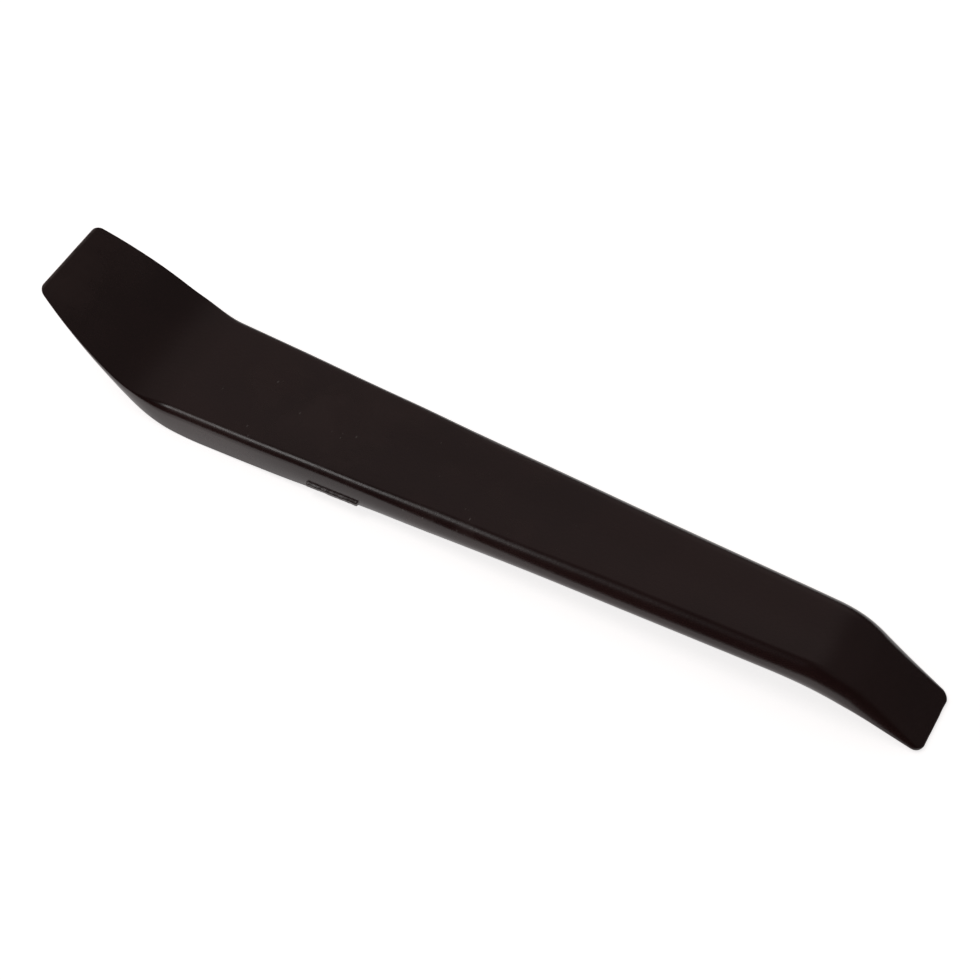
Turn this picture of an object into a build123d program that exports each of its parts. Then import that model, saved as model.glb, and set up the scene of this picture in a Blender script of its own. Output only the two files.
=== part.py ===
from build123d import *
from math import asin, atan2, cos, hypot, pi, radians, sin, tan
import os

# A double-ended pry bar (spudger), moulded in one piece.
# The wide chisel blade turns up at -X, the narrow one turns down at +X.
# In the side view, x runs along the underside from the heel and y stands off it.

# driving dimensions, mm and degrees
shank_length = 63.3          # heel corner to toe corner, along the underside
wide_blade_length = 12.15    # tip to bend, along the top face
wide_blade_angle = 33.0      # rise of the wide blade's top face
wide_bend_radius = 10.3      # hollow side of the wide bend
heel_radius = 17.2           # round side under the wide bend
narrow_blade_length = 9.75
narrow_blade_angle = 33.8    # fall of the narrow blade's top face
narrow_bend_radius = 8.5     # round side of the narrow bend
toe_radius = 26.0            # hollow side under the narrow bend

wide_end_thickness = 2.92    # shank beside the wide blade
narrow_end_thickness = 2.46  # shank beside the narrow blade
wide_tip_thickness = 0.25
narrow_tip_thickness = 0.3

wide_tip_width = 8.2
widest_width = 12.24
widest_from_heel = 1.05
narrow_bend_width = 8.25
narrow_tip_width = 6.25
blade_side_bulge = 0.52      # how far the wide blade's side edges bow outwards
shoulder_reach = 4.0         # eases each side edge from the wide blade into the shank
wide_tip_corner = 0.65       # corner radii of the two tips, seen from above
narrow_tip_corner = 0.85
corner_clearance = 0.05      # keeps each tip's cutter off the side walls
tip_trim = 0.02              # cut off each tip together with its corners
under_allowance = 0.1        # added to the cross-sections, then cut back to true flats and arcs

# A side wall is three arcs: an edge that rounds into the top face, a crowned wall, and an edge
# that rounds into the underside. Each pair is a distance from the heel and the value there.
top_edge_radius = ((-7, 0.12), (0, 0.12), (4, 0.76), (20, 0.78), (44, 1.1), (66, 1.1), (73, 0.6))
under_edge_radius = ((-7, 3.8), (4, 0.15), (14, 0.15), (25, 0.85), (40, 1.5), (64, 1.35), (73, 0.4))
top_edge_angle = ((0, 5), (10, 8), (21, 20), (33, 25))        # slope of the wall at each edge
under_edge_angle = ((-7, 52), (4, 8), (10, 8), (21, 18), (33, 26))
rounded_share = 0.85         # of the thickness, at most

gate_length = 4.85           # stub that the mould's gate leaves on the near side wall
gate_height = 0.6
gate_stand_out = 0.18        # from the widest line of the wall
gate_from_heel = 19.7        # to the middle of the stub
gate_above_underside = 0.62
gate_edge_radius = 0.08
gate_root = 0.6              # buried in the wall

# cross-sections: distances from a bend along its blade, and shares of the length between bends
wide_sections = (12.15, 11.0, 8.5, 6.0, 3.6, 1.8, 0)
shank_sections = (0.04, 0.085, 0.14, 0.22, 0.34, 0.5, 0.66, 0.8, 0.88, 0.925, 0.965)
narrow_sections = (0, 1.6, 3.4, 5.2, 7.0, 8.4, 9.75)

# side view corners, before the bends are rounded
wide_shift = wide_end_thickness * tan(radians(wide_blade_angle / 2))
narrow_shift = narrow_end_thickness * tan(radians(narrow_blade_angle / 2))
heel = Vector(0, 0)
toe = Vector(shank_length, 0)
wide_bend = Vector(wide_shift, wide_end_thickness)
narrow_bend = Vector(shank_length + narrow_shift, narrow_end_thickness)
wide_out = Vector(-1, 0).rotate(Axis.Z, -wide_blade_angle)
narrow_out = Vector(1, 0).rotate(Axis.Z, -narrow_blade_angle)
wide_tip = wide_bend + wide_out * wide_blade_length
narrow_tip = narrow_bend + narrow_out * narrow_blade_length
wide_tip_under = wide_tip + wide_out.rotate(Axis.Z, 90) * wide_tip_thickness
narrow_tip_under = narrow_tip + narrow_out.rotate(Axis.Z, -90) * narrow_tip_thickness

# at rest the bar stands on its rounded heel and on the lower edge of the narrow tip
heel_turn = atan2(wide_tip_under.Y, -wide_tip_under.X)
heel_centre = Vector(heel_radius * tan(heel_turn / 2), heel_radius)
to_tip = narrow_tip_under - heel_centre
tilt = -atan2(to_tip.Y, to_tip.X) - asin(heel_radius / hypot(to_tip.X, to_tip.Y))
upright = Plane(origin=(0, 0, 0), x_dir=(cos(tilt), 0, sin(tilt)), z_dir=(0, -1, 0))
ends = [upright.from_local_coords(end).X for end in (wide_tip_under, narrow_tip)]
lowest = upright.from_local_coords(heel_centre).Z - heel_radius
side_view = Plane(origin=(-sum(ends) / 2, 0, -lowest), x_dir=upright.x_dir, z_dir=upright.z_dir)

with BuildLine() as top_line:
    Polyline(wide_tip, wide_bend, narrow_bend, narrow_tip)
    for corner, radius in ((wide_bend, wide_bend_radius), (narrow_bend, narrow_bend_radius)):
        fillet(top_line.vertices().sort_by_distance(corner)[0], radius)
with BuildLine() as under_line:
    Polyline(wide_tip_under, heel, toe, narrow_tip_under)
    for corner, radius in ((heel, heel_radius), (toe, toe_radius)):
        fillet(under_line.vertices().sort_by_distance(corner)[0], radius)
top_wire, under_wire = top_line.wire(), under_line.wire()


def square_plane(point, way, x_dir=(0, 1, 0)):
    """A plane in space, through a point of the side view and square to a direction in it."""
    origin = side_view.from_local_coords(point)
    return Plane(origin=origin, x_dir=x_dir, z_dir=side_view.from_local_coords(point + way) - origin)


def underside_below(top, ahead):
    """The underside's point in the plane through a top point, square to the top face."""
    low, high = 0, 1
    while high - low > 1e-9:
        middle = (low + high) / 2
        if (under_wire.position_at(middle) - top).dot(ahead) < 0:
            low = middle
        else:
            high = middle
    return under_wire.position_at(high)


def reading(pairs, x, ease=False):
    """A value between (distance, value) pairs, on straight lines or on eased ones."""
    if x <= pairs[0][0]:
        return pairs[0][1]
    for (x0, value0), (x1, value1) in zip(pairs, pairs[1:]):
        if x <= x1:
            share = (x - x0) / (x1 - x0)
            if ease:
                share = share ** 2 * (3 - 2 * share)
            return value0 + (value1 - value0) * share
    return pairs[-1][1]


def sharp_half_width(x):
    if x < widest_from_heel:
        share = (x - wide_tip_under.X) / (widest_from_heel - wide_tip_under.X)
        straight = wide_tip_width + (widest_width - wide_tip_width) * share
        return straight / 2 + 4 * blade_side_bulge * share * (1 - share)
    shank = (widest_from_heel, widest_width), (narrow_bend.X, narrow_bend_width)
    return reading((*shank, (narrow_tip.X, narrow_tip_width)), x) / 2


def half_width(x):
    """Half the bar's width, with the side edge eased where the wide blade runs into the shank."""
    steps = 9
    shifts = [shoulder_reach * (k / (steps - 1) - 0.5) for k in range(steps)]
    weights = [1 + cos(2 * pi * shift / shoulder_reach) for shift in shifts]
    total = sum(w * sharp_half_width(x + shift) for w, shift in zip(weights, shifts))
    return total / sum(weights)


def wall_at(x, thickness):
    """Radii of a side wall's three arcs, and the wall's slopes in degrees at the two edges."""
    top_angle, under_angle = (reading(pairs, x, True) for pairs in (top_edge_angle, under_edge_angle))
    top_radius, under_radius = (reading(pairs, x, True) for pairs in (top_edge_radius, under_edge_radius))
    top_sine, under_sine = sin(radians(top_angle)), sin(radians(under_angle))
    rounded = top_radius * (1 - top_sine) + under_radius * (1 - under_sine)
    fit = min(1, rounded_share * thickness / rounded)
    crown = (thickness - rounded * fit) / (top_sine + under_sine)
    return top_radius * fit, crown, under_radius * fit, top_angle, under_angle


wide_share = wide_blade_length / top_wire.length
narrow_share = 1 - narrow_blade_length / top_wire.length
places = [wide_share * (1 - distance / wide_blade_length) for distance in wide_sections]
places += [wide_share + (narrow_share - wide_share) * share for share in shank_sections]
places += [narrow_share + (1 - narrow_share) * distance / narrow_blade_length for distance in narrow_sections]

with BuildPart() as pry_bar:
    for place in places:
        top, ahead = top_wire.position_at(place), top_wire.tangent_at(place)
        under = underside_below(top, ahead)
        thickness = (under - top).length + under_allowance
        x = ((top + under) / 2).X
        top_radius, crown, under_radius, top_angle, under_angle = wall_at(x, thickness)
        crown_x = half_width(x) - crown
        crown_y = -top_radius - (crown - top_radius) * sin(radians(top_angle))
        top_x = crown_x + (crown - top_radius) * cos(radians(top_angle))
        under_x = crown_x + (crown - under_radius) * cos(radians(under_angle))
        with BuildSketch(square_plane(top, ahead)):
            with BuildLine():
                CenterArc((top_x, -top_radius), top_radius, 90, top_angle - 90)
                CenterArc((crown_x, crown_y), crown, top_angle, -top_angle - under_angle)
                CenterArc((under_x, under_radius - thickness), under_radius, -under_angle, under_angle - 90)
                mirror(about=Plane.YZ)
                Line((under_x, -thickness), (-under_x, -thickness))
                Line((-top_x, 0), (top_x, 0))
            make_face()
    loft()

    # round the tip corners, seen square to each blade
    tips = (wide_tip, wide_out, wide_tip_corner), (narrow_tip, narrow_out, narrow_tip_corner)
    for tip, out, radius in tips:
        reach = 3 * radius
        beside = widest_width
        tip_half, back_half = (half_width(p.X) + corner_clearance for p in (tip, tip - out * reach))
        with BuildSketch(square_plane(tip, out.rotate(Axis.Z, -90))):
            with BuildLine():
                corners = (-tip_half, -tip_trim), (tip_half, -tip_trim)
                outline = FilletPolyline((-back_half, -reach), *corners, (back_half, -reach), radius=radius)
                around = (beside, -reach), (beside, reach), (-beside, reach), (-beside, -reach)
                Polyline(outline @ 1, *around, outline @ 0)
            make_face()
        extrude(amount=wide_end_thickness, both=True, mode=Mode.SUBTRACT)

    # cut the underside true
    with BuildSketch(side_view):
        with BuildLine():
            add(under_line.line)
            beyond_wide, beyond_narrow = wide_tip_under + wide_out, narrow_tip_under + narrow_out
            below = narrow_tip_under.Y - wide_end_thickness
            corners = beyond_narrow, (beyond_narrow.X, below), (beyond_wide.X, below), beyond_wide
            Polyline(narrow_tip_under, *corners, wide_tip_under)
        make_face()
    extrude(amount=widest_width, both=True, mode=Mode.SUBTRACT)

    # the gate stub lies along the near side wall
    stub_ends = [
        side_view.from_local_coords(Vector(x, gate_above_underside, half_width(x)))
        for x in (gate_from_heel - gate_length / 2, gate_from_heel + gate_length / 2)
    ]
    along = stub_ends[1] - stub_ends[0]
    outwards = along.cross(side_view.y_dir)
    wall_plane = Plane(origin=(stub_ends[0] + stub_ends[1]) / 2, x_dir=along, z_dir=outwards)
    with BuildSketch(wall_plane.offset(-gate_root)):
        Rectangle(gate_length, gate_height)
    extrude(amount=gate_root + gate_stand_out)
    stub_face = pry_bar.faces().sort_by_distance(wall_plane.offset(gate_stand_out).origin)[0]
    fillet(stub_face.edges(), gate_edge_radius)

os.makedirs("parts", exist_ok=True)
pry_bar.part.label = "pry_bar"
export_step(pry_bar.part, "parts/pry_bar.step")
box = pry_bar.part.bounding_box().size
print(f"pry_bar: {box.X:.2f} x {box.Y:.2f} x {box.Z:.2f} mm, {len(pry_bar.faces())} faces")
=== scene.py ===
import math

import bpy
import numpy as np
from mathutils import Matrix, Vector, noise


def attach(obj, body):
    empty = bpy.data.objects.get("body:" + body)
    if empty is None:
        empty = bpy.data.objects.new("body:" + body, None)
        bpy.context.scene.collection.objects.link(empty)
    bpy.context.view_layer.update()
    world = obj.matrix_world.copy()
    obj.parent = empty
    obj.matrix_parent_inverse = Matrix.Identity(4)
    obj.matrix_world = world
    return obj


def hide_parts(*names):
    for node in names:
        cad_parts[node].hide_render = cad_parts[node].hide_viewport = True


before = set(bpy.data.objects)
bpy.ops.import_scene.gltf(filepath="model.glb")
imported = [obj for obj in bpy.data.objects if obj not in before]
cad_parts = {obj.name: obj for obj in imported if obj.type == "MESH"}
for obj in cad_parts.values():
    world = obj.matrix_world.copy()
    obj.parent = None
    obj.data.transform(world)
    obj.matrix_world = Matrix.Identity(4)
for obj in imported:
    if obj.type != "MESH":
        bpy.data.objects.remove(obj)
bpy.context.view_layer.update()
mm = 0.001
print("frame loaded")


# shader maths: a socket that can stand in an expression
class Wire:
    def __init__(self, tree, socket):
        self.tree, self.socket = tree, socket

    def maths(self, operation, *others):
        return self.tree.node("ShaderNodeMath", {"operation": operation}, (self, *others))

    def after(self, operation, first):
        return self.tree.node("ShaderNodeMath", {"operation": operation}, (first, self))

    def __add__(self, other):
        return self.maths("ADD", other)

    def __radd__(self, other):
        return self.after("ADD", other)

    def __sub__(self, other):
        return self.maths("SUBTRACT", other)

    def __mul__(self, other):
        return self.maths("MULTIPLY", other)

    def __rmul__(self, other):
        return self.after("MULTIPLY", other)

    def atMost(self, other):
        return self.maths("MINIMUM", other)


class Tree:
    def __init__(self, owner):
        owner.use_nodes = True
        self.nodes, self.links = owner.node_tree.nodes, owner.node_tree.links
        self.nodes.clear()

    def node(self, kind, settings=None, values=(), output=0):
        made = self.nodes.new(kind)
        for name, value in (settings or {}).items():
            setattr(made, name, value)
        for key, value in values.items() if isinstance(values, dict) else enumerate(values):
            if isinstance(value, Wire):
                self.links.new(value.socket, made.inputs[key])
            else:
                made.inputs[key].default_value = value
        return Wire(self, made.outputs[output]) if len(made.outputs) else made

    def step(self, value, low, high):
        values = {"Value": value, "From Min": low, "From Max": high}
        return self.node("ShaderNodeMapRange", {"interpolation_type": "SMOOTHSTEP"}, values)

    def mix(self, factor, first, second):
        return self.node("ShaderNodeMix", {"data_type": "RGBA"}, {0: factor, 6: first, 7: second}, 2)

    def noise(self, coords, scale, detail, roughness, distortion=0.0):
        values = {"Vector": coords, "Scale": scale, "Detail": detail,
                  "Roughness": roughness, "Distortion": distortion}
        return self.node("ShaderNodeTexNoise", None, values)

    def placed(self, coords, scale, turn):
        return self.node("ShaderNodeMapping", None, {"Vector": coords, "Rotation": turn, "Scale": scale})

    def attribute(self, name):
        return self.node("ShaderNodeAttribute", {"attribute_name": name}, (), 2)


camera = {
    "aim": (-0.32, 1.52, 1.45),     # mm
    "distance": 204.7,
    "azimuth": 24.29,
    "elevation": 52.8,
    "roll": 5.16,
    "lens": 89.63,
    "sensor": 36.0,
    "clip": (0.01, 20),             # m
}


def makeCamera(c):
    azimuth, elevation = math.radians(c["azimuth"]), math.radians(c["elevation"])
    back = Vector((math.sin(azimuth) * math.cos(elevation),
                   -math.cos(azimuth) * math.cos(elevation), math.sin(elevation)))
    data = bpy.data.cameras.new("camera")
    data.lens, data.sensor_width = c["lens"], c["sensor"]
    data.clip_start, data.clip_end = c["clip"]
    made = bpy.data.objects.new("camera", data)
    bpy.context.scene.collection.objects.link(made)
    turn = (-back).to_track_quat("-Z", "Y").to_matrix() @ Matrix.Rotation(math.radians(c["roll"]), 3, "Z")
    place = (Vector(c["aim"]) + back * c["distance"]) * mm
    made.matrix_world = Matrix.Translation(place) @ turn.to_4x4()
    bpy.context.scene.camera = made


makeCamera(camera)
print("camera placed")


# The bar is drawn in millimetres. In its side view, x runs along the underside from the heel
# and y stands off it; a station is a cross-section square to the top face.
bar = {
    "shankLength": 63.3,
    "wideBladeLength": 12.15, "wideBladeAngle": 33.0, "wideBendRadius": 10.3, "heelRadius": 17.2,
    "narrowBladeLength": 9.75, "narrowBladeAngle": 33.8, "narrowBendRadius": 8.5, "toeRadius": 26.0,
    "wideEndThickness": 2.92, "narrowEndThickness": 2.46,
    "wideTipThickness": 0.25, "narrowTipThickness": 0.3,
    "wideTipWidth": 8.2, "widestWidth": 12.22, "widestFromHeel": 1.05,
    "narrowBendWidth": 8.25, "narrowTipWidth": 6.25, "bladeSideBulge": 0.52, "shoulderReach": 4.0,
    "wideTipCorner": 0.65, "narrowTipCorner": 0.85, "tipEdgeRadius": 0.1,
    "beyondTips": 0.4,          # the widths are drawn on past both tips
    "acrossReach": 6,           # furthest that the underside can be from the top face
    "tangentStep": 0.3,
}

# The side walls are three arcs: an edge that rounds into the top face, a crowned wall, and an
# edge that rounds into the underside. Each pair is a distance from the heel and a value there.
walls = {
    "topRadius": ((-7, 0.12), (0, 0.12), (4, 0.76), (20, 0.8), (32, 1.15), (46, 1.4), (66, 1.35), (73, 0.6)),
    "underRadius": ((-7, 3.8), (4, 0.15), (14, 0.15), (25, 0.85), (40, 1.5), (64, 1.35), (73, 0.4)),
    "topAngle": ((0, 4), (10, 4), (21, 18), (33, 25)),
    "underAngle": ((-7, 52), (4, 4), (10, 4), (21, 16), (33, 26)),
    "roundedShare": 0.85,        # of the thickness, at most
}

gateStub = {
    "fromHeel": 19.7, "aboveUnderside": 0.8, "length": 4.85, "height": 0.42, "standOut": 0.25,
    "slope": 0.11,                       # width of its sides in plan
    "tear": 0.035,                       # depth of the torn crown
    "tearSize": 0.45, "fineTear": 0.5, "fineTearSize": 0.16,
    "wander": 0.06, "wanderSize": 0.5,   # unevenness of its outline
}

wear = {
    "sink": 0.03,                        # hollow along the middle of the thick shank's faces
    "sinkFrom": 1.5, "sinkFull": 2.7,    # thickness at which the hollow starts and is full
    "wave": 0.004, "waveSize": 9.0, "fineWave": 0.4, "fineWaveSize": 3.0,
    "wideNick": 0.07, "wideNickSize": 1.4,
    "narrowNick": 0.03, "narrowNickSize": 1.0,
    "nickFrom": 0.1, "nickGain": 2, "edgeRoughness": 0.15,
    "nickReach": 0.5,                    # how far back from the tip a nick is felt
    "seedShift": (3.7, 1.9, 0),          # how far each seed moves the noise
}

# how finely the mesh is cut: stations are (from the tip, to, gap), the rest are counts or gaps
fineness = {
    "tipStations": ((0, 0.12, 0.02), (0.12, 0.6, 0.06), (0.6, 2.0, 0.14)),
    "stationGap": 0.27, "stubGap": 0.07, "stubEndGap": 0.025, "stubEndOutside": 0.15, "stubEndInside": 0.2,
    "face": 40, "faceReach": 0.95, "faceEnd": 0.985, "edge": 13, "wall": 101,
    "bend": 60, "sideView": 4000, "underside": 6000,
}


def turned(vector, degrees):
    c, s = math.cos(math.radians(degrees)), math.sin(math.radians(degrees))
    return np.array((vector[0] * c - vector[1] * s, vector[0] * s + vector[1] * c))


def rounded(corners, radii):
    path = [corners[0]]
    for before, corner, after, radius in zip(corners, corners[1:], corners[2:], radii):
        back = (before - corner) / np.linalg.norm(before - corner)
        ahead = (after - corner) / np.linalg.norm(after - corner)
        turn = math.pi - math.acos(back @ ahead)
        middle = (back + ahead) / np.linalg.norm(back + ahead)
        centre = corner + middle * radius / math.cos(turn / 2)
        start = corner + back * radius * math.tan(turn / 2) - centre
        end = corner + ahead * radius * math.tan(turn / 2) - centre
        side = math.copysign(math.degrees(turn), start[0] * end[1] - start[1] * end[0])
        path += [centre + turned(start, side * share) for share in np.linspace(0, 1, fineness["bend"])]
    return np.array(path + [corners[-1]])


def lengthsOf(path):
    return np.concatenate(([0], np.cumsum(np.linalg.norm(np.diff(path, axis=0), axis=1))))


def pointsAlong(path, places):
    lengths = lengthsOf(path)
    return np.stack([np.interp(places, lengths, path[:, k]) for k in (0, 1)], axis=-1)


def sideView(b):
    wideShift = b["wideEndThickness"] * math.tan(math.radians(b["wideBladeAngle"] / 2))
    narrowShift = b["narrowEndThickness"] * math.tan(math.radians(b["narrowBladeAngle"] / 2))
    heel, toe = np.array((0.0, 0.0)), np.array((b["shankLength"], 0.0))
    wideBend = np.array((wideShift, b["wideEndThickness"]))
    narrowBend = np.array((b["shankLength"] + narrowShift, b["narrowEndThickness"]))
    wideOut, narrowOut = turned((-1, 0), -b["wideBladeAngle"]), turned((1, 0), -b["narrowBladeAngle"])
    wideTip = wideBend + wideOut * b["wideBladeLength"]
    narrowTip = narrowBend + narrowOut * b["narrowBladeLength"]
    wideUnder = wideTip + turned(wideOut, 90) * b["wideTipThickness"]
    narrowUnder = narrowTip + turned(narrowOut, -90) * b["narrowTipThickness"]
    top = rounded([wideTip, wideBend, narrowBend, narrowTip], [b["wideBendRadius"], b["narrowBendRadius"]])
    under = rounded([wideUnder, heel, toe, narrowUnder], [b["heelRadius"], b["toeRadius"]])
    return top, under, narrowBend[0]


# at rest the bar stands on its rounded heel and on the lower edge of the narrow tip
def restPlacer(b, top, under):
    turn = math.atan2(under[0][1], -under[0][0])
    centre = np.array((b["heelRadius"] * math.tan(turn / 2), b["heelRadius"]))
    x, y = under[-1] - centre
    tilt = -math.atan2(y, x) - math.asin(b["heelRadius"] / math.hypot(x, y))
    c, s = math.cos(tilt), math.sin(tilt)
    ends = [p[0] * c - p[1] * s for p in (under[0], top[-1])]
    lowest = centre[0] * s + centre[1] * c - b["heelRadius"]
    middle = sum(ends) / 2
    return lambda x, y: (x * c - y * s - middle, x * s + y * c - lowest)


def halfWidthTable(b, under, narrowBendX, top):
    start, end = under[0][0] - b["beyondTips"], top[-1][0] + b["beyondTips"]
    margin = b["shoulderReach"] / 2
    x = np.linspace(start - margin, end + margin, fineness["sideView"])
    tip, widest = b["wideTipWidth"] / 2, b["widestWidth"] / 2
    share = (x - start) / (b["widestFromHeel"] - start)
    blade = tip + (widest - tip) * share + 4 * b["bladeSideBulge"] * share * (1 - share)
    knots = (b["widestFromHeel"], narrowBendX, end)
    taper = np.interp(x, knots, (widest, b["narrowBendWidth"] / 2, b["narrowTipWidth"] / 2))
    half = np.where(share < 1, blade, taper)
    reach = round(b["shoulderReach"] / (x[1] - x[0]) / 2)
    window = np.hanning(2 * reach + 1)
    return x, np.convolve(np.pad(half, reach, "edge"), window / window.sum(), "valid")


def stationsFor(total, stubStart, stubEnd):
    f = fineness
    outside, inside = f["stubEndOutside"], f["stubEndInside"]
    wideTip = list(f["tipStations"])
    narrowTip = [(total - end, total - start, gap) for start, end, gap in wideTip[::-1]]
    spans = wideTip + [
        (wideTip[-1][1], stubStart - outside, f["stationGap"]),
        (stubStart - outside, stubStart + inside, f["stubEndGap"]),
        (stubStart + inside, stubEnd - inside, f["stubGap"]),
        (stubEnd - inside, stubEnd + outside, f["stubEndGap"]),
        (stubEnd + outside, narrowTip[0][0], f["stationGap"]),
    ] + narrowTip
    pieces = [np.linspace(a, z, max(2, round((z - a) / gap) + 1))[:-1] for a, z, gap in spans]
    return np.concatenate(pieces + [[total]])


# thickness at each station, measured square to the top face
def acrossFrom(tops, downs, under, reach):
    fine = pointsAlong(under, np.linspace(0, lengthsOf(under)[-1], fineness["underside"]))
    depths = []
    for top, down in zip(tops, downs):
        gap = fine - top
        sideways = np.abs(gap[:, 0] * down[1] - gap[:, 1] * down[0])
        sideways[np.linalg.norm(gap, axis=1) > reach] = np.inf
        near = np.argsort(sideways)[:2]
        depths.append(float((gap[near] @ down).mean()))
    return np.array(depths)


def roundedEnd(distance, radius):
    inside = np.clip(1 - distance / radius, 0, 1)
    return radius * (1 - np.sqrt(1 - inside ** 2))


def plateau(distance, half, slope):
    return np.clip((half - np.abs(distance)) / slope + 0.5, 0, 1)


def eased(value):
    return value * value * (3 - 2 * value)


# smooth noise at each point; the seed only moves it elsewhere
def speckle(points, size, seed):
    shift = Vector([seed * part for part in wear["seedShift"]])
    values = [noise.noise(Vector(p) / size + shift) for p in points.reshape(-1, 3)]
    return np.array(values).reshape(points.shape[:-1])


# one ring of points around the cross-section: (part of the ring, position in it)
def ringPlan():
    reach, end = fineness["faceReach"], fineness["faceEnd"]
    columns = np.concatenate(([1, end], np.linspace(reach, -reach, fineness["face"]), [-end, -1]))
    edge, wall = np.linspace(0, 1, fineness["edge"]), np.linspace(0, 1, fineness["wall"])
    plan = [("top", c) for c in columns]
    plan += [("nearTop", t) for t in edge[1:]] + [("near", t) for t in wall[1:-1]]
    plan += [("nearUnder", t) for t in edge[:-1]] + [("under", c) for c in columns[::-1]]
    plan += [("farUnder", t) for t in edge[-2::-1]] + [("far", t) for t in wall[-2:0:-1]]
    plan += [("farTop", t) for t in edge[:0:-1]]
    return plan


def easedBetween(x, pairs):
    knots, values = (np.array(part, float) for part in zip(*pairs))
    step = np.clip(np.searchsorted(knots, x) - 1, 0, len(knots) - 2)
    share = eased(np.clip((x - knots[step]) / (knots[step + 1] - knots[step]), 0, 1))
    return values[step] + (values[step + 1] - values[step]) * share


def wallArcs(x, thickness):
    radius = {key: easedBetween(x, walls[key]) for key in ("topRadius", "underRadius")}
    angles = (np.radians(easedBetween(x, walls[key])) for key in ("topAngle", "underAngle"))
    topAngle, underAngle = angles
    topSine, underSine = np.sin(topAngle), np.sin(underAngle)
    used = radius["topRadius"] * (1 - topSine) + radius["underRadius"] * (1 - underSine)
    fit = np.minimum(1, walls["roundedShare"] * thickness / used)
    topRadius, underRadius = radius["topRadius"] * fit, radius["underRadius"] * fit
    crown = (thickness - used * fit) / (topSine + underSine)
    return topRadius, topAngle, crown, underAngle, underRadius


def buildBar(b):
    top, under, narrowBendX = sideView(b)
    total = lengthsOf(top)[-1]
    along = np.linspace(0, total, fineness["sideView"])
    stubEnds = gateStub["fromHeel"] + np.array((-0.5, 0.5)) * gateStub["length"]
    places = stationsFor(total, *np.interp(stubEnds, pointsAlong(top, along)[:, 0], along))
    tops = pointsAlong(top, places)
    after, before = np.minimum(places + b["tangentStep"], total), np.maximum(places - b["tangentStep"], 0)
    ahead = pointsAlong(top, after) - pointsAlong(top, before)
    ahead /= np.linalg.norm(ahead, axis=1)[:, None]
    downs = np.stack([ahead[:, 1], -ahead[:, 0]], axis=1)
    depths = acrossFrom(tops, downs, under, b["acrossReach"])
    cornerCut = roundedEnd(places, b["wideTipCorner"]) + roundedEnd(total - places, b["narrowTipCorner"])
    edgeCut = roundedEnd(places, b["tipEdgeRadius"]) + roundedEnd(total - places, b["tipEdgeRadius"])
    topRadius, topAngle, crown, underAngle, underRadius = wallArcs(tops[:, 0], depths - 2 * edgeCut)
    widthX, widthY = halfWidthTable(b, under, narrowBendX, top)

    plan = ringPlan()
    depth = np.zeros((len(places), len(plan)))
    inset, across = np.zeros_like(depth), np.zeros(len(plan))
    topLoss = crown * (1 - np.cos(topAngle))
    underLoss = crown * (1 - np.cos(underAngle))
    topDrop, underRise = topRadius * (1 - np.sin(topAngle)), underRadius * (1 - np.sin(underAngle))
    widestDepth = edgeCut + topDrop + crown * np.sin(topAngle)
    for k, (kind, value) in enumerate(plan):
        across[k] = value if kind in ("top", "under") else -1 if kind.startswith("near") else 1
        if kind == "top":
            depth[:, k], inset[:, k] = edgeCut, topLoss + topRadius * np.cos(topAngle)
        elif kind == "under":
            depth[:, k], inset[:, k] = depths - edgeCut, underLoss + underRadius * np.cos(underAngle)
        elif kind.endswith("Top"):
            angle = math.pi / 2 + (topAngle - math.pi / 2) * value
            depth[:, k] = edgeCut + topRadius * (1 - np.sin(angle))
            inset[:, k] = topLoss + topRadius * (np.cos(topAngle) - np.cos(angle))
        elif kind.endswith("Under"):
            angle = underAngle + (math.pi / 2 - underAngle) * value
            depth[:, k] = depths - edgeCut - underRadius * (1 - np.sin(angle))
            inset[:, k] = underLoss + underRadius * (np.cos(underAngle) - np.cos(angle))
        else:
            rise = np.sin(topAngle) - (np.sin(topAngle) + np.sin(underAngle)) * value
            depth[:, k] = widestDepth - crown * rise
            inset[:, k] = crown * (1 - np.sqrt(1 - rise ** 2))
    x = tops[:, :1] + downs[:, :1] * depth
    y = tops[:, 1:] + downs[:, 1:] * depth
    half = np.interp(x, widthX, widthY) - cornerCut[:, None] - inset
    grid = np.stack([x, half * across[None, :], y], axis=-1)
    return plan, grid, places, total, depths, ahead


def gridNormals(grid):
    along = np.gradient(grid, axis=0)
    around = np.roll(grid, -1, axis=1) - np.roll(grid, 1, axis=1)
    normals = np.cross(around, along)
    return normals / np.maximum(np.linalg.norm(normals, axis=-1), 1e-9)[..., None]


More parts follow.
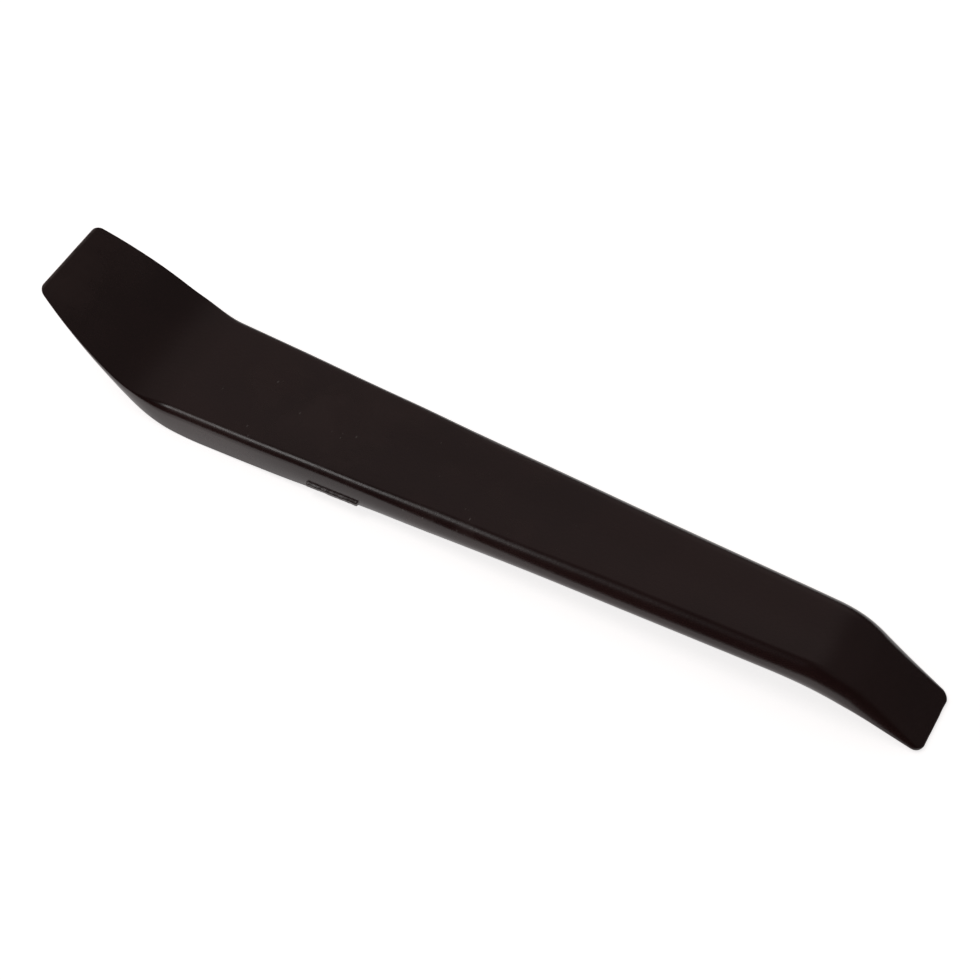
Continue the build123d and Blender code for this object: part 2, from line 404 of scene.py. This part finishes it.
def roughen(plan, grid, places, total, depths, ahead):
    kinds = np.array([kind for kind, value in plan])
    values = np.array([value for kind, value in plan])
    normals = gridNormals(grid)
    x, z = grid[..., 0], grid[..., 2]
    flat = np.where((kinds == "top") | (kinds == "under"), np.clip(1 - np.abs(values), 0, 1), 0)
    thick = np.clip((depths - wear["sinkFrom"]) / (wear["sinkFull"] - wear["sinkFrom"]), 0, 1)
    lift = -wear["sink"] * eased(flat)[None, :] * thick[:, None]
    wave = speckle(grid, wear["waveSize"], 1) + wear["fineWave"] * speckle(grid, wear["fineWaveSize"], 2)
    lift += wear["wave"] * wave * np.minimum(1, depths)[:, None]

    # the gate stub: steep sides, a torn crown
    g = gateStub
    near = kinds == "near"
    wander = g["wander"] * speckle(grid * (1, 0, 0), g["wanderSize"], 3)
    body = plateau(x - g["fromHeel"] + wander, g["length"] / 2, g["slope"])
    body *= plateau(z - g["aboveUnderside"] + 0.5 * wander, g["height"] / 2, g["slope"])
    torn = speckle(grid * (1, 0, 1), g["tearSize"], 4)
    torn += g["fineTear"] * speckle(grid * (1, 0, 1), g["fineTearSize"], 5)
    lift += near[None, :] * body * (g["standOut"] + g["tear"] * torn)
    grid = grid + normals * lift[..., None]

    # nicks along both chisel edges
    for end, fromTip, depth, size, way in (
            (0, places, wear["wideNick"], wear["wideNickSize"], 1),
            (-1, total - places, wear["narrowNick"], wear["narrowNickSize"], -1)):
        bite = speckle(grid[end], size, 6)
        deep = np.clip(bite - wear["nickFrom"], 0, 1) * wear["nickGain"]
        bite = depth * (deep + wear["edgeRoughness"] * np.abs(bite))
        fade = np.clip(1 - fromTip / wear["nickReach"], 0, 1) ** 2
        push = way * fade[:, None] * bite[None, :]
        grid[..., 0] += push * ahead[:, :1]
        grid[..., 2] += push * ahead[:, 1:]
    return grid


def meshFrom(name, grid, attributes):
    stations, around = grid.shape[:2]
    index = np.arange(stations * around).reshape(stations, around)
    after = np.roll(index, -1, axis=1)
    quads = np.stack([index[:-1], after[:-1], after[1:], index[1:]], axis=-1).reshape(-1, 4)
    mesh = bpy.data.meshes.new(name)
    caps = [list(map(int, index[0][::-1])), list(map(int, index[-1]))]
    mesh.from_pydata([tuple(p * mm) for p in grid.reshape(-1, 3)], [], quads.tolist() + caps)
    for key, values in attributes.items():
        layer = mesh.attributes.new(key, "FLOAT", "POINT")
        layer.data.foreach_set("value", np.ascontiguousarray(values, float).ravel())
    mesh.shade_smooth()
    mesh.validate()
    made = bpy.data.objects.new(name, mesh)
    bpy.context.scene.collection.objects.link(made)
    return made


plan, grid, places, total, depths, ahead = buildBar(bar)
grid = roughen(plan, grid, places, total, depths, ahead)
topPath, underPath = sideView(bar)[:2]
place = restPlacer(bar, topPath, underPath)
flatX, flatZ = grid[..., 0].copy(), grid[..., 2].copy()
grid[..., 0], grid[..., 2] = place(flatX, flatZ)
everywhere = np.ones(grid.shape[:2])
pryBar = meshFrom("pryBar", grid, {
    "fromWideTip": everywhere * places[:, None],
    "fromNarrowTip": everywhere * (total - places)[:, None],
})
print("bar built:", len(pryBar.data.vertices), "vertices")


# each patch is a noise (scale, detail, roughness, distortion if any), then the noise values where
# the patch starts and where it is full
plastic = {
    "dark": (0.0165, 0.0058, 0.0058, 1),
    "light": (0.0235, 0.0090, 0.0085, 1),
    "clouds": ((90, 3, 0.55), (0.35, 0.7)),
    "scuffed": (0.060, 0.038, 0.034, 1),      # wide blade, rubbed paler towards its tip
    "scuffs": ((260, 3, 0.6), (0.1, 0.8)),
    "scuffReach": (9.0, 1.0),                 # mm from the wide tip: start, full
    "scuffShare": 0.5,
    "smudgeAndSheen": (0.036, 0.018, 0.016, 1),         # handling smudges on the thick half, plus a painted reflection: the middle of the shank's top face is painted paler in place of the overhead light it reflects
    "smudgeAndSheenPatches": ((170, 4, 0.62, 0.5), (0.42, 0.72)),
    "smudgeAndSheenShare": 0.4,
    "dustAndSheenFrom": (13.0, 26.0), "dustAndSheenTo": (56.0, 38.0),
    "dust": (0.13, 0.12, 0.115, 1),
    "dusty": ((420, 2, 0.5), (0.56, 0.66)),
    "fleckScale": 1900, "fleckStretch": (1, 0.45, 1), "fleckTurn": (0, 0, 0.6), "fleckSize": (0.16, 0.07),
    "dustShare": 0.8,
    "rim": (0.20, 0.17, 0.16, 1),             # the very edge of each tip
    "rims": ((900, 2, 0.5), (0.2, 0.6)),
    "rimReach": (0.32, 0.05),
    "rimShare": 0.7,
    "narrowRimLess": 0.1,                     # mm
    "roughness": 0.24,
    "smudgeAndSheenRoughness": 0.12, "dustRoughness": 0.3, "rimRoughness": 0.12, "scuffRoughness": 0.08,
    "grainRoughness": 0.05,
    "ior": 1.5,
    "grain": 0.30, "grainNoise": (2600, 3, 0.6), "grainMiddle": 0.5,
    "fineGrain": 0.4, "fineGrainNoise": (9000, 2, 0.6),
    "grainHeight": 0.00002,                   # m
}


def makePlastic(p):
    material = bpy.data.materials.new("blackNylon")
    t = Tree(material)
    coords = t.node("ShaderNodeTexCoord", None, (), 3)
    wideTip, narrowTip = t.attribute("fromWideTip"), t.attribute("fromNarrowTip")

    def patch(name):
        look, edges = p[name]
        return t.step(t.noise(coords, *look), *edges)

    colour = t.mix(patch("clouds"), p["dark"], p["light"])
    scuffed = t.step(wideTip, *p["scuffReach"]) * patch("scuffs")
    colour = t.mix(p["scuffShare"] * scuffed, colour, p["scuffed"])

    # the middle of the shank: real dust flecks and handling smudges, and a painted reflection that makes its
    # top face paler there
    dustAndSheenZone = t.step(wideTip, *p["dustAndSheenFrom"]) * t.step(wideTip, *p["dustAndSheenTo"])
    smudgeAndSheen = dustAndSheenZone * patch("smudgeAndSheenPatches")
    colour = t.mix(p["smudgeAndSheenShare"] * smudgeAndSheen, colour, p["smudgeAndSheen"])
    placed = t.placed(coords, p["fleckStretch"], p["fleckTurn"])
    flecks = t.node("ShaderNodeTexVoronoi", None, {"Vector": placed, "Scale": p["fleckScale"]})
    dust = t.step(flecks, *p["fleckSize"]) * dustAndSheenZone * patch("dusty")
    colour = t.mix(p["dustShare"] * dust, colour, p["dust"])

    fromTips = wideTip.atMost(narrowTip + p["narrowRimLess"])
    rim = t.step(fromTips, *p["rimReach"]) * patch("rims")
    colour = t.mix(p["rimShare"] * rim, colour, p["rim"])

    fine = t.noise(coords, *p["fineGrainNoise"])
    grain = t.noise(coords, *p["grainNoise"])
    rough = p["roughness"] + p["smudgeAndSheenRoughness"] * smudgeAndSheen + p["dustRoughness"] * dust
    rough = rough + p["grainRoughness"] * (grain - p["grainMiddle"])
    rough = rough + p["rimRoughness"] * rim + p["scuffRoughness"] * scuffed
    bump = t.node("ShaderNodeBump", None, {
        "Strength": p["grain"], "Distance": p["grainHeight"], "Height": grain + p["fineGrain"] * fine})
    shader = t.node("ShaderNodeBsdfPrincipled", None, {
        "Base Color": colour, "Roughness": rough, "IOR": p["ior"], "Normal": bump})
    t.node("ShaderNodeOutputMaterial", None, {"Surface": shader})
    return material


pryBar.data.materials.append(makePlastic(plastic))
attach(pryBar, "root")
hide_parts("pry_bar")
print("plastic made")


studio = {
    "floorSize": 3.0,
    "floorColour": (0.9, 0.9, 0.9, 1),
    "floorGlow": 0.79,
    "pale": (1, 1, 1, 1),
    "dim": 0.03,                              # what the dark part of the studio gives back
    # soft panels: direction, cosines at the outer and inner edge, strength
    "panels": (
        ((-0.27, 0.75, 0.60), (0.84, 0.99), 0.29),
        ((-0.85, -0.15, 0.50), (0.72, 0.92), 1.0),
        ((0.40, 0.48, 0.78), (0.76, 0.97), 0.12),
    ),
    "tint": (1.0, 0.86, 0.83, 1),
    "lampAim": (-18, -6, 3),                  # mm
    "lampDirection": (-0.37, -0.175, 0.912),
    "lampDistance": 0.35,
    "lampSize": (0.04, 0.14),
    "lampPower": 0.115,
}


def makeFloor(s):
    size = s["floorSize"] / 2
    mesh = bpy.data.meshes.new("floor")
    corners = [(-size, -size, 0), (size, -size, 0), (size, size, 0), (-size, size, 0)]
    mesh.from_pydata(corners, [], [(0, 1, 2, 3)])
    floor = bpy.data.objects.new("floor", mesh)
    bpy.context.scene.collection.objects.link(floor)
    material = bpy.data.materials.new("paleFloor")
    t = Tree(material)
    shader = t.node("ShaderNodeBsdfPrincipled", None, {
        "Base Color": s["floorColour"], "Roughness": 1.0, "Specular IOR Level": 0.0,
        "Emission Color": s["pale"], "Emission Strength": s["floorGlow"]})
    t.node("ShaderNodeOutputMaterial", None, {"Surface": shader})
    mesh.materials.append(material)


def makeSky(s):
    world = bpy.data.worlds.new("studio")
    bpy.context.scene.world = world
    t = Tree(world)
    direction = t.node("ShaderNodeTexCoord", None, (), 0)
    strength = s["dim"]
    for way, edges, amount in s["panels"]:
        towards = t.node("ShaderNodeVectorMath", {"operation": "DOT_PRODUCT"},
                         {0: direction, 1: Vector(way).normalized()}, 1)
        strength = strength + amount * t.step(towards, *edges)
    seen = t.node("ShaderNodeLightPath", None, (), 0)
    lit = t.node("ShaderNodeBackground", None, {"Color": s["tint"], "Strength": strength})
    pale = t.node("ShaderNodeBackground", None, {"Color": s["pale"], "Strength": 1.0})
    mixed = t.node("ShaderNodeMixShader", None, {0: seen, 1: lit, 2: pale})
    t.node("ShaderNodeOutputWorld", None, {"Surface": mixed})


def makeLamp(s):
    data = bpy.data.lights.new("lamp", "AREA")
    data.shape = "RECTANGLE"
    data.size, data.size_y = s["lampSize"]
    data.energy = s["lampPower"]
    lamp = bpy.data.objects.new("lamp", data)
    way = Vector(s["lampDirection"]).normalized()
    place = Vector(s["lampAim"]) * mm + way * s["lampDistance"]
    across = Vector((0, 1, 0)).cross(way).normalized()
    turn = Matrix((across, way.cross(across), way)).transposed()
    lamp.matrix_world = Matrix.Translation(place) @ turn.to_4x4()
    bpy.context.scene.collection.objects.link(lamp)


makeFloor(studio)
makeSky(studio)
makeLamp(studio)
bpy.context.scene.view_settings.view_transform = "Standard"
print("studio lit")
